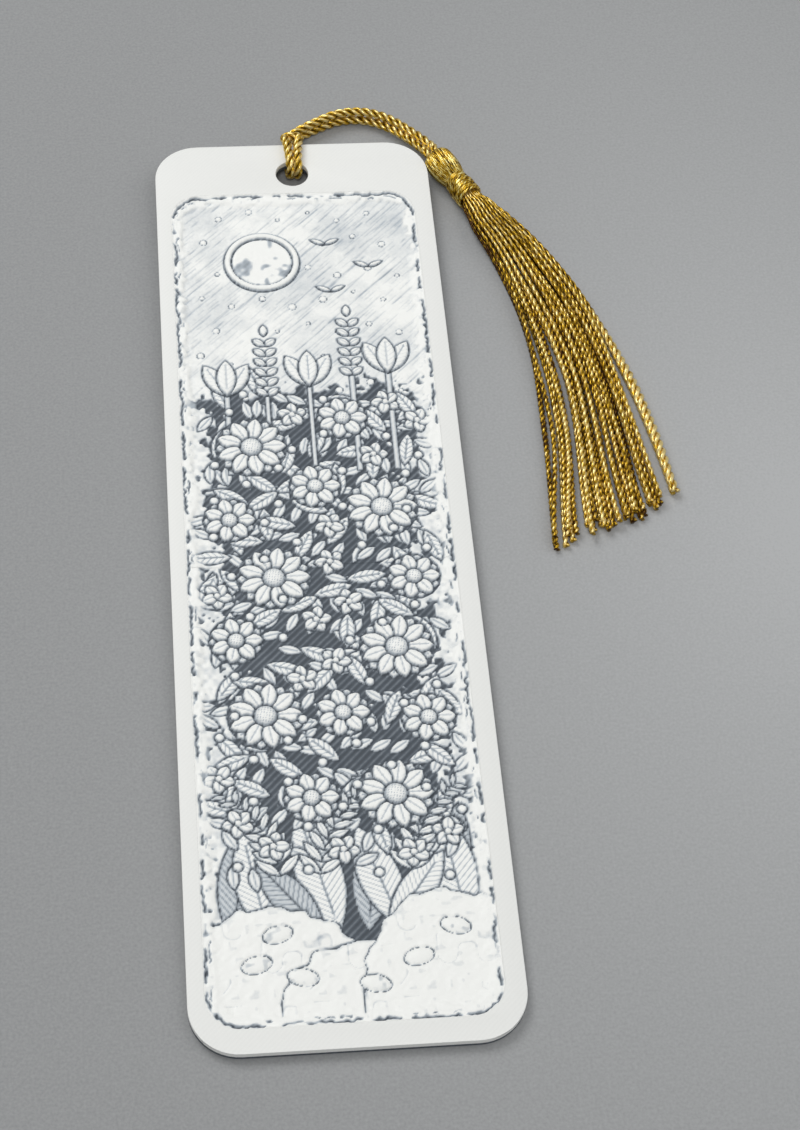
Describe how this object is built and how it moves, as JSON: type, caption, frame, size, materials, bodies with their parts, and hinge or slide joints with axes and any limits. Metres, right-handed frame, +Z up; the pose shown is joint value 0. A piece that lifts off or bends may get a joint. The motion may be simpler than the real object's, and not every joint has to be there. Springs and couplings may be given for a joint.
{
  "type": "bookmark",
  "caption": "Relief-printed bookmark card with a white rim over a dark base sheet, and a twisted gold cord looped through its end hole to a bound thread tassel.",
  "frame": {"origin": "on the table, under the middle of the card", "axes": "+X across the card to the right, towards the tassel; +Y along the card towards the cord hole; +Z up from the table"},
  "size_m": [0.072, 0.1583, 0.0049],
  "materials": {
    "slate_print": "dark slate printed plastic with fine slanted lines",
    "white_print": "white printed plastic, satin, with fine print lines",
    "film_print": "thin white print over the dark sheet, pale blue-grey",
    "gold_cord": "twisted satin cord, antique gold",
    "gold_thread": "satin thread, antique gold"
  },
  "bodies": {
    "card": {"base_sheet": "slate_print", "white_rim": "white_print", "border_band": "white_print", "daisy_petals": "white_print", "daisy_hearts": "white_print", "small_blossoms": "white_print", "cup_flowers": "white_print", "flower_spikes": "white_print", "stems": "film_print", "bank": "film_print", "pebbles": "white_print", "fern_fronds": "film_print", "leaves": "film_print", "round_buds": "white_print", "moon": "white_print", "birds": "white_print", "sky_lines": "film_print", "hitch_cord": "gold_cord"},
    "loop": {"loop_strand_outer": "gold_cord", "loop_strand_inner": "gold_cord"},
    "head": {"cord_knot": "gold_cord", "tassel_head": "gold_thread", "neck_core": "gold_thread", "neck_wrap": "gold_thread"},
    "skirt": {"skirt_left": "gold_thread", "skirt_middle": "gold_thread", "skirt_right": "gold_thread", "loose_strand": "gold_cord"}
  },
  "joints": [
    {"name": "loop_swing", "type": "hinge", "parent": "card", "child": "loop", "pos_m": [0.0005, 0.0784, 0.0015], "axis": [0, 0, 1], "range_deg": [0, 110]},
    {"name": "head_lift", "type": "hinge", "parent": "loop", "child": "head", "pos_m": [0.02162, 0.07415, 0.00247], "axis": [-0.8902, -0.4555, 0], "range_deg": [0, 75]},
    {"name": "skirt_sway", "type": "hinge", "parent": "head", "child": "skirt", "pos_m": [0.02725, 0.06316, 0.00247], "axis": [0, 0, 1], "range_deg": [-6, 22]}
  ]
}
